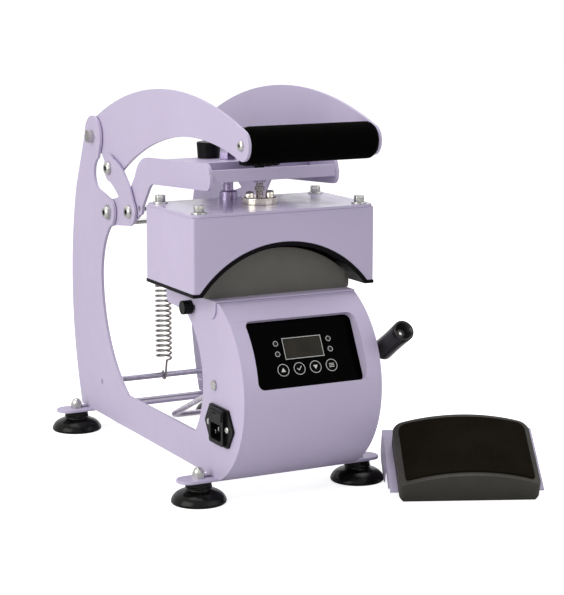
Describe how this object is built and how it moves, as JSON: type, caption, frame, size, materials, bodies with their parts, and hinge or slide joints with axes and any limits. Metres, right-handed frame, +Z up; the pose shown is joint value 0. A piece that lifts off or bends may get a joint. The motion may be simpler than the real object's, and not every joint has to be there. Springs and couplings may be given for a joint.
{
  "type": "cap heat press",
  "caption": "Lavender cap heat press with a curved heated head on a toggle arm, a curved front column with keypad and suction feet, and a spare platen.",
  "frame": {"origin": "middle of the bottom of the box round the press and the spare platen, on the surface that they stand on", "axes": "+Z up, -Y towards the user, who faces the control panel, +X to the side of the tension lever and the spare platen"},
  "size_m": [0.3711, 0.5165, 0.3885],
  "materials": {
    "lavender": "satin powder coat",
    "black_panel": "gloss",
    "black_plastic": "satin",
    "black_foam": "matte",
    "black_rubber": "satin",
    "pad_rubber": "matte",
    "grey_cast": "satin grey coating",
    "dark_element": "non-stick coating",
    "zinc": "bright zinc",
    "chrome": "polished",
    "bare_steel": "plain",
    "lcd": "gloss",
    "board": "matte",
    "wool": "matte",
    "lamp": "clear",
    "key": "satin"
  },
  "bodies": {
    "frame": {"left_side_plate": "lavender", "right_side_plate": "lavender", "foot_bars": "lavender", "suction_feet": "black_rubber", "foot_cap_nuts": "zinc", "lower_tie_rod": "zinc", "front_panel": "lavender", "control_panel": "black_panel", "lcd_window": "lcd", "indicator_lamps": "lamp", "rear_cover": "lavender", "cable_gland": "black_plastic", "inlet_body": "black_plastic", "inlet_pins": "zinc", "inlet_screws": "zinc", "control_board": "board", "arm_pivot_bolts": "zinc", "handle_pivot_bolts": "zinc", "counter_spring": "zinc"},
    "upper_arm": {"left_arm_plate": "lavender", "right_arm_plate": "lavender", "front_cross_bar": "lavender", "rear_cross_plate": "lavender", "arm_rods": "zinc"},
    "handle": {"left_handle_arm": "lavender", "right_handle_arm": "lavender", "grip_tube": "bare_steel", "grip_foam": "black_foam", "grip_screws": "zinc", "link_top_screws": "zinc"},
    "links": {"left_link": "lavender", "right_link": "lavender", "link_pins": "zinc"},
    "head": {"box_shell": "lavender", "box_top_plate": "lavender", "head_bolts": "zinc", "heating_element": "dark_element", "insulation": "wool", "pressure_flange": "chrome", "guide_post": "zinc"},
    "pressure_spindle": {"pressure_screw": "zinc", "pressure_knob": "black_plastic"},
    "level_spindle": {"level_knob": "black_plastic"},
    "tension_gear": {"tension_shaft": "zinc", "tension_lever": "zinc", "lever_grip": "black_foam", "tension_bail": "bare_steel"},
    "left_clamp": {"left_clamp_knob": "black_plastic"},
    "right_clamp": {"right_clamp_knob": "black_plastic"},
    "platen": {"platen_body": "grey_cast", "platen_pad": "pad_rubber", "platen_saddle": "lavender"},
    "spare_platen": {"spare_platen_body": "grey_cast", "spare_platen_pad": "pad_rubber", "spare_platen_saddle": "lavender"},
    "fuse_carrier": {"fuse_drawer": "black_plastic"},
    "button_1": {"key_1": "key"},
    "button_2": {"key_2": "key"},
    "button_3": {"key_3": "key"},
    "button_4": {"key_4": "key"}
  },
  "joints": [
    {"name": "handle_swing", "type": "hinge", "parent": "frame", "child": "handle", "pos_m": [-0.07083, 0.19008, 0.327], "axis": [-1, 0, 0], "range_deg": [0, 45]},
    {"name": "head_lift", "type": "hinge", "parent": "frame", "child": "upper_arm", "pos_m": [-0.07083, 0.14708, 0.25], "axis": [-1, 0, 0], "range_deg": [0, 25], "deforming": ["counter_spring"]},
    {"name": "links_swing", "type": "hinge", "parent": "handle", "child": "links", "pos_m": [-0.07083, 0.14408, 0.297], "axis": [-1, 0, 0], "range_deg": [-67, 0]},
    {"name": "pressure_turn", "type": "hinge", "parent": "head", "child": "pressure_spindle", "pos_m": [-0.07083, -0.06432, 0.3], "axis": [0, 0, 1], "range_deg": [0, 1085]},
    {"name": "head_slide", "type": "slide", "parent": "upper_arm", "child": "head", "axis": [0, 0, 1], "range_m": [0, 0.0045]},
    {"name": "level_knob_turn", "type": "hinge", "parent": "upper_arm", "child": "level_spindle", "pos_m": [-0.09483, 0.00108, 0.32], "axis": [0, 0, 1], "range_deg": [-180, 180]},
    {"name": "tension_swing", "type": "hinge", "parent": "frame", "child": "tension_gear", "pos_m": [-0.07083, -0.11492, 0.115], "axis": [1, 0, 0], "range_deg": [-18, 8]},
    {"name": "left_clamp_turn", "type": "hinge", "parent": "frame", "child": "left_clamp", "pos_m": [-0.15083, -0.06592, 0.183], "axis": [-1, 0, 0], "range_deg": [0, 540]},
    {"name": "right_clamp_turn", "type": "hinge", "parent": "frame", "child": "right_clamp", "pos_m": [0.00917, -0.06592, 0.183], "axis": [1, 0, 0], "range_deg": [0, 540]},
    {"name": "platen_slide", "type": "slide", "parent": "frame", "child": "platen", "axis": [0, -1, 0], "range_m": [0, 0.12]},
    {"name": "spare_lift", "type": "slide", "parent": "frame", "child": "spare_platen", "axis": [0, 0, 1], "range_m": [0, 0.08]},
    {"name": "fuse_drawer_slide", "type": "slide", "parent": "frame", "child": "fuse_carrier", "axis": [-1, 0, 0], "range_m": [0, 0.018]},
    {"name": "key_1_press", "type": "slide", "parent": "frame", "child": "button_1", "axis": [0, 0.8899, -0.4562], "range_m": [0, 0.0004], "stiffness_N_per_m": 500, "springref_m": -0.0004},
    {"name": "key_2_press", "type": "slide", "parent": "frame", "child": "button_2", "axis": [0, 0.8899, -0.4562], "range_m": [0, 0.0004], "stiffness_N_per_m": 500, "springref_m": -0.0004},
    {"name": "key_3_press", "type": "slide", "parent": "frame", "child": "button_3", "axis": [0, 0.8899, -0.4562], "range_m": [0, 0.0004], "stiffness_N_per_m": 500, "springref_m": -0.0004},
    {"name": "key_4_press", "type": "slide", "parent": "frame", "child": "button_4", "axis": [0, 0.8899, -0.4562], "range_m": [0, 0.0004], "stiffness_N_per_m": 500, "springref_m": -0.0004}
  ],
  "couplings": [
    {"joint": "head_lift", "follows": "handle_swing", "ratio": 0.54},
    {"joint": "links_swing", "follows": "handle_swing", "ratio": -1.47},
    {"joint": "pressure_turn", "follows": "head_slide", "rad_per_m": 4188.8}
  ]
}
